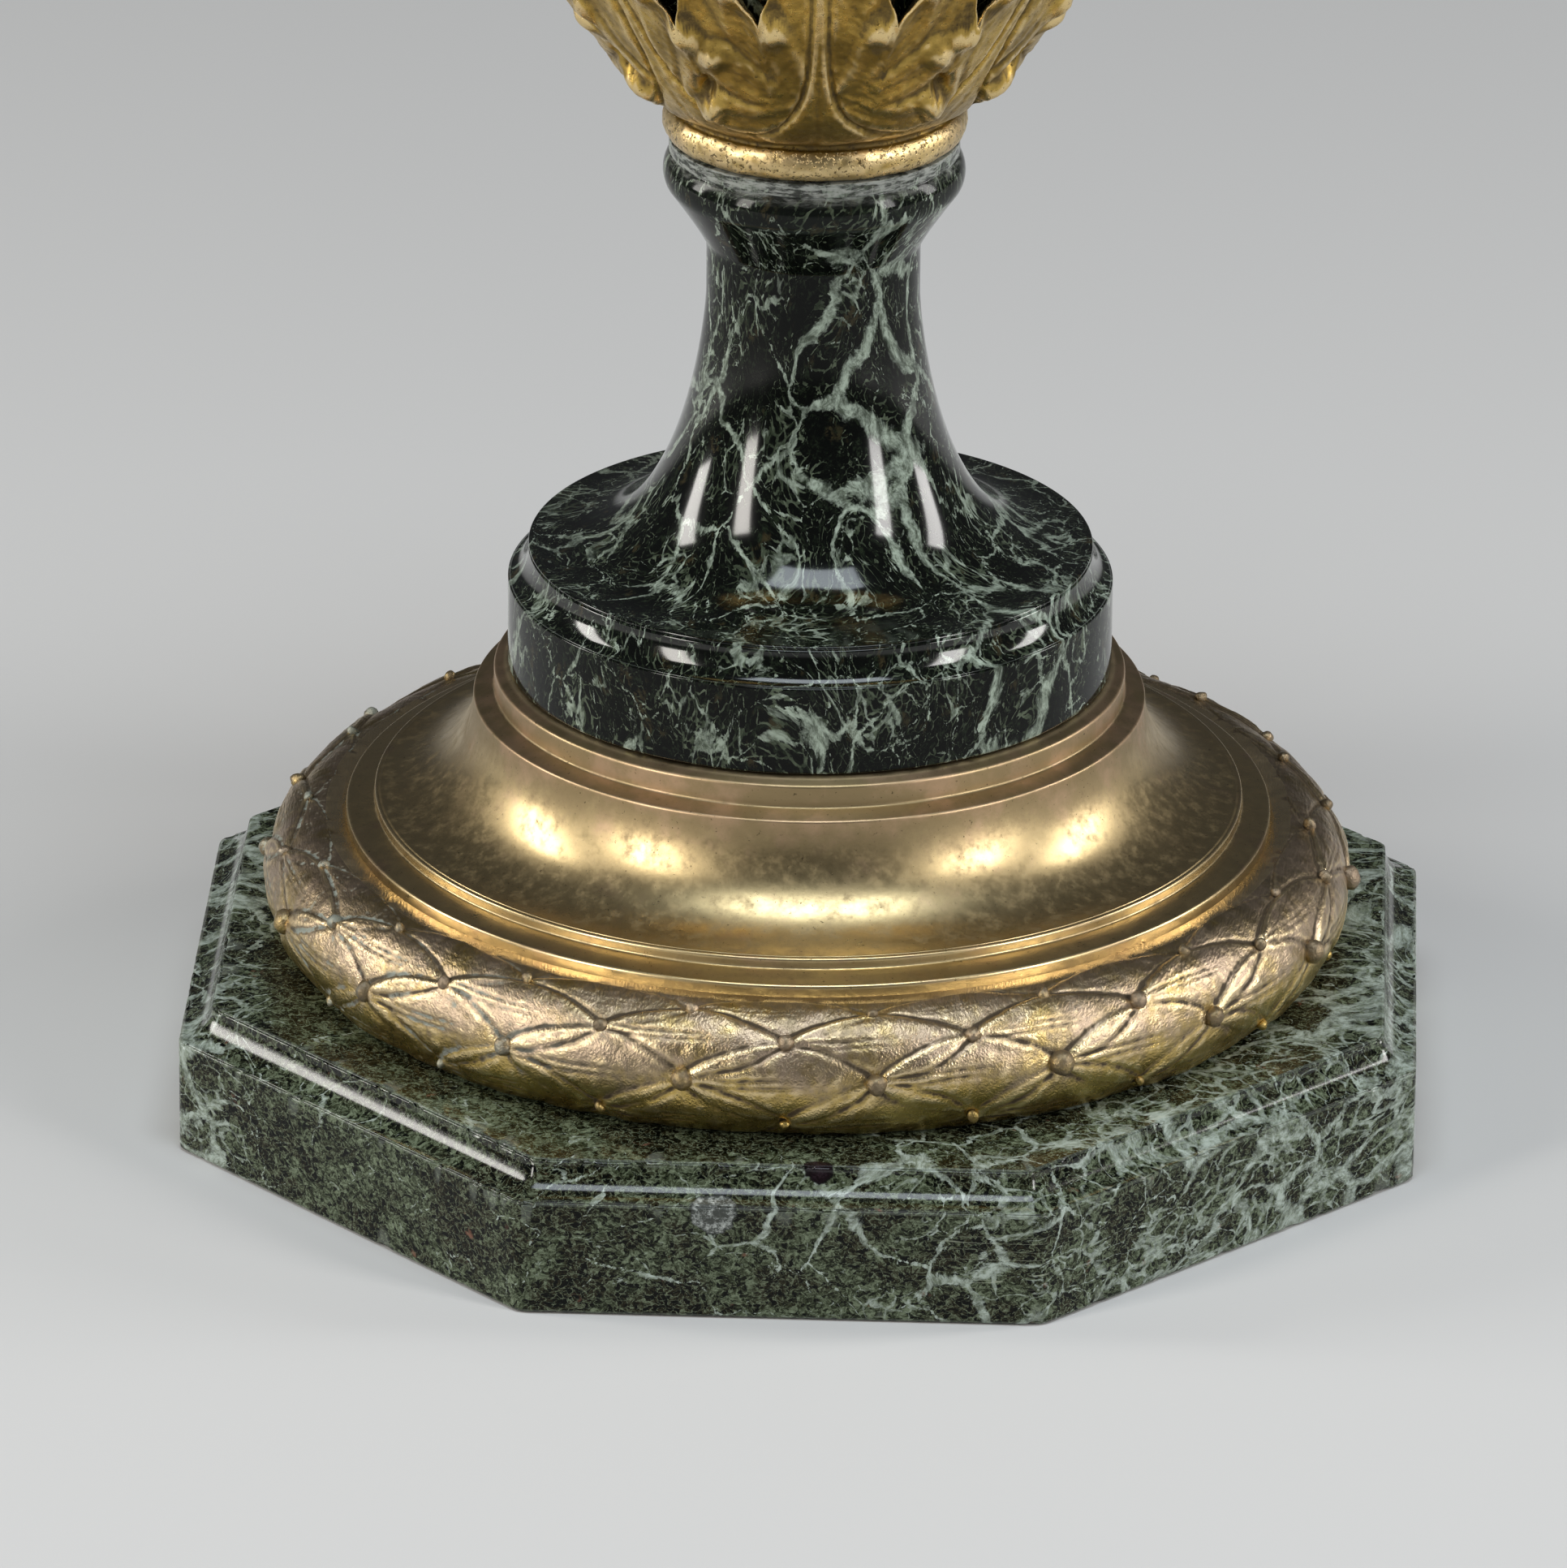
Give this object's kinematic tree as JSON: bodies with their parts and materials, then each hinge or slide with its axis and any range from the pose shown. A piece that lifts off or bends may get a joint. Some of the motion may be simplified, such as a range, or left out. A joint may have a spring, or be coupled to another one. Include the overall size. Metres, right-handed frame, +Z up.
{
  "type": "mantel urn",
  "caption": "Covered mantel urn: octagonal marble plinth, wreathed gilt bronze base, turned marble stem, acanthus cup, hollow ovoid marble body and domed lid.",
  "frame": {"origin": "middle of the plinth's underside, on the surface that the urn stands on", "axes": "+Z up along the axis of the stem and body; +X and +Y square to the plinth's flat sides, -Y towards the front"},
  "size_m": [0.15, 0.15, 0.2747],
  "materials": {
    "plinth_marble": "polished, worn",
    "stem_marble": "polished",
    "gilt_bronze": "satin gilt, patinated",
    "cup_bronze": "chased gilt"
  },
  "bodies": {
    "root": {"plinth": "plinth_marble", "wreath_base": "gilt_bronze", "stem": "stem_marble", "acanthus_cup": "cup_bronze", "body": "stem_marble", "rim": "gilt_bronze", "lid": "stem_marble", "finial": "gilt_bronze"}
  },
  "joints": []
}
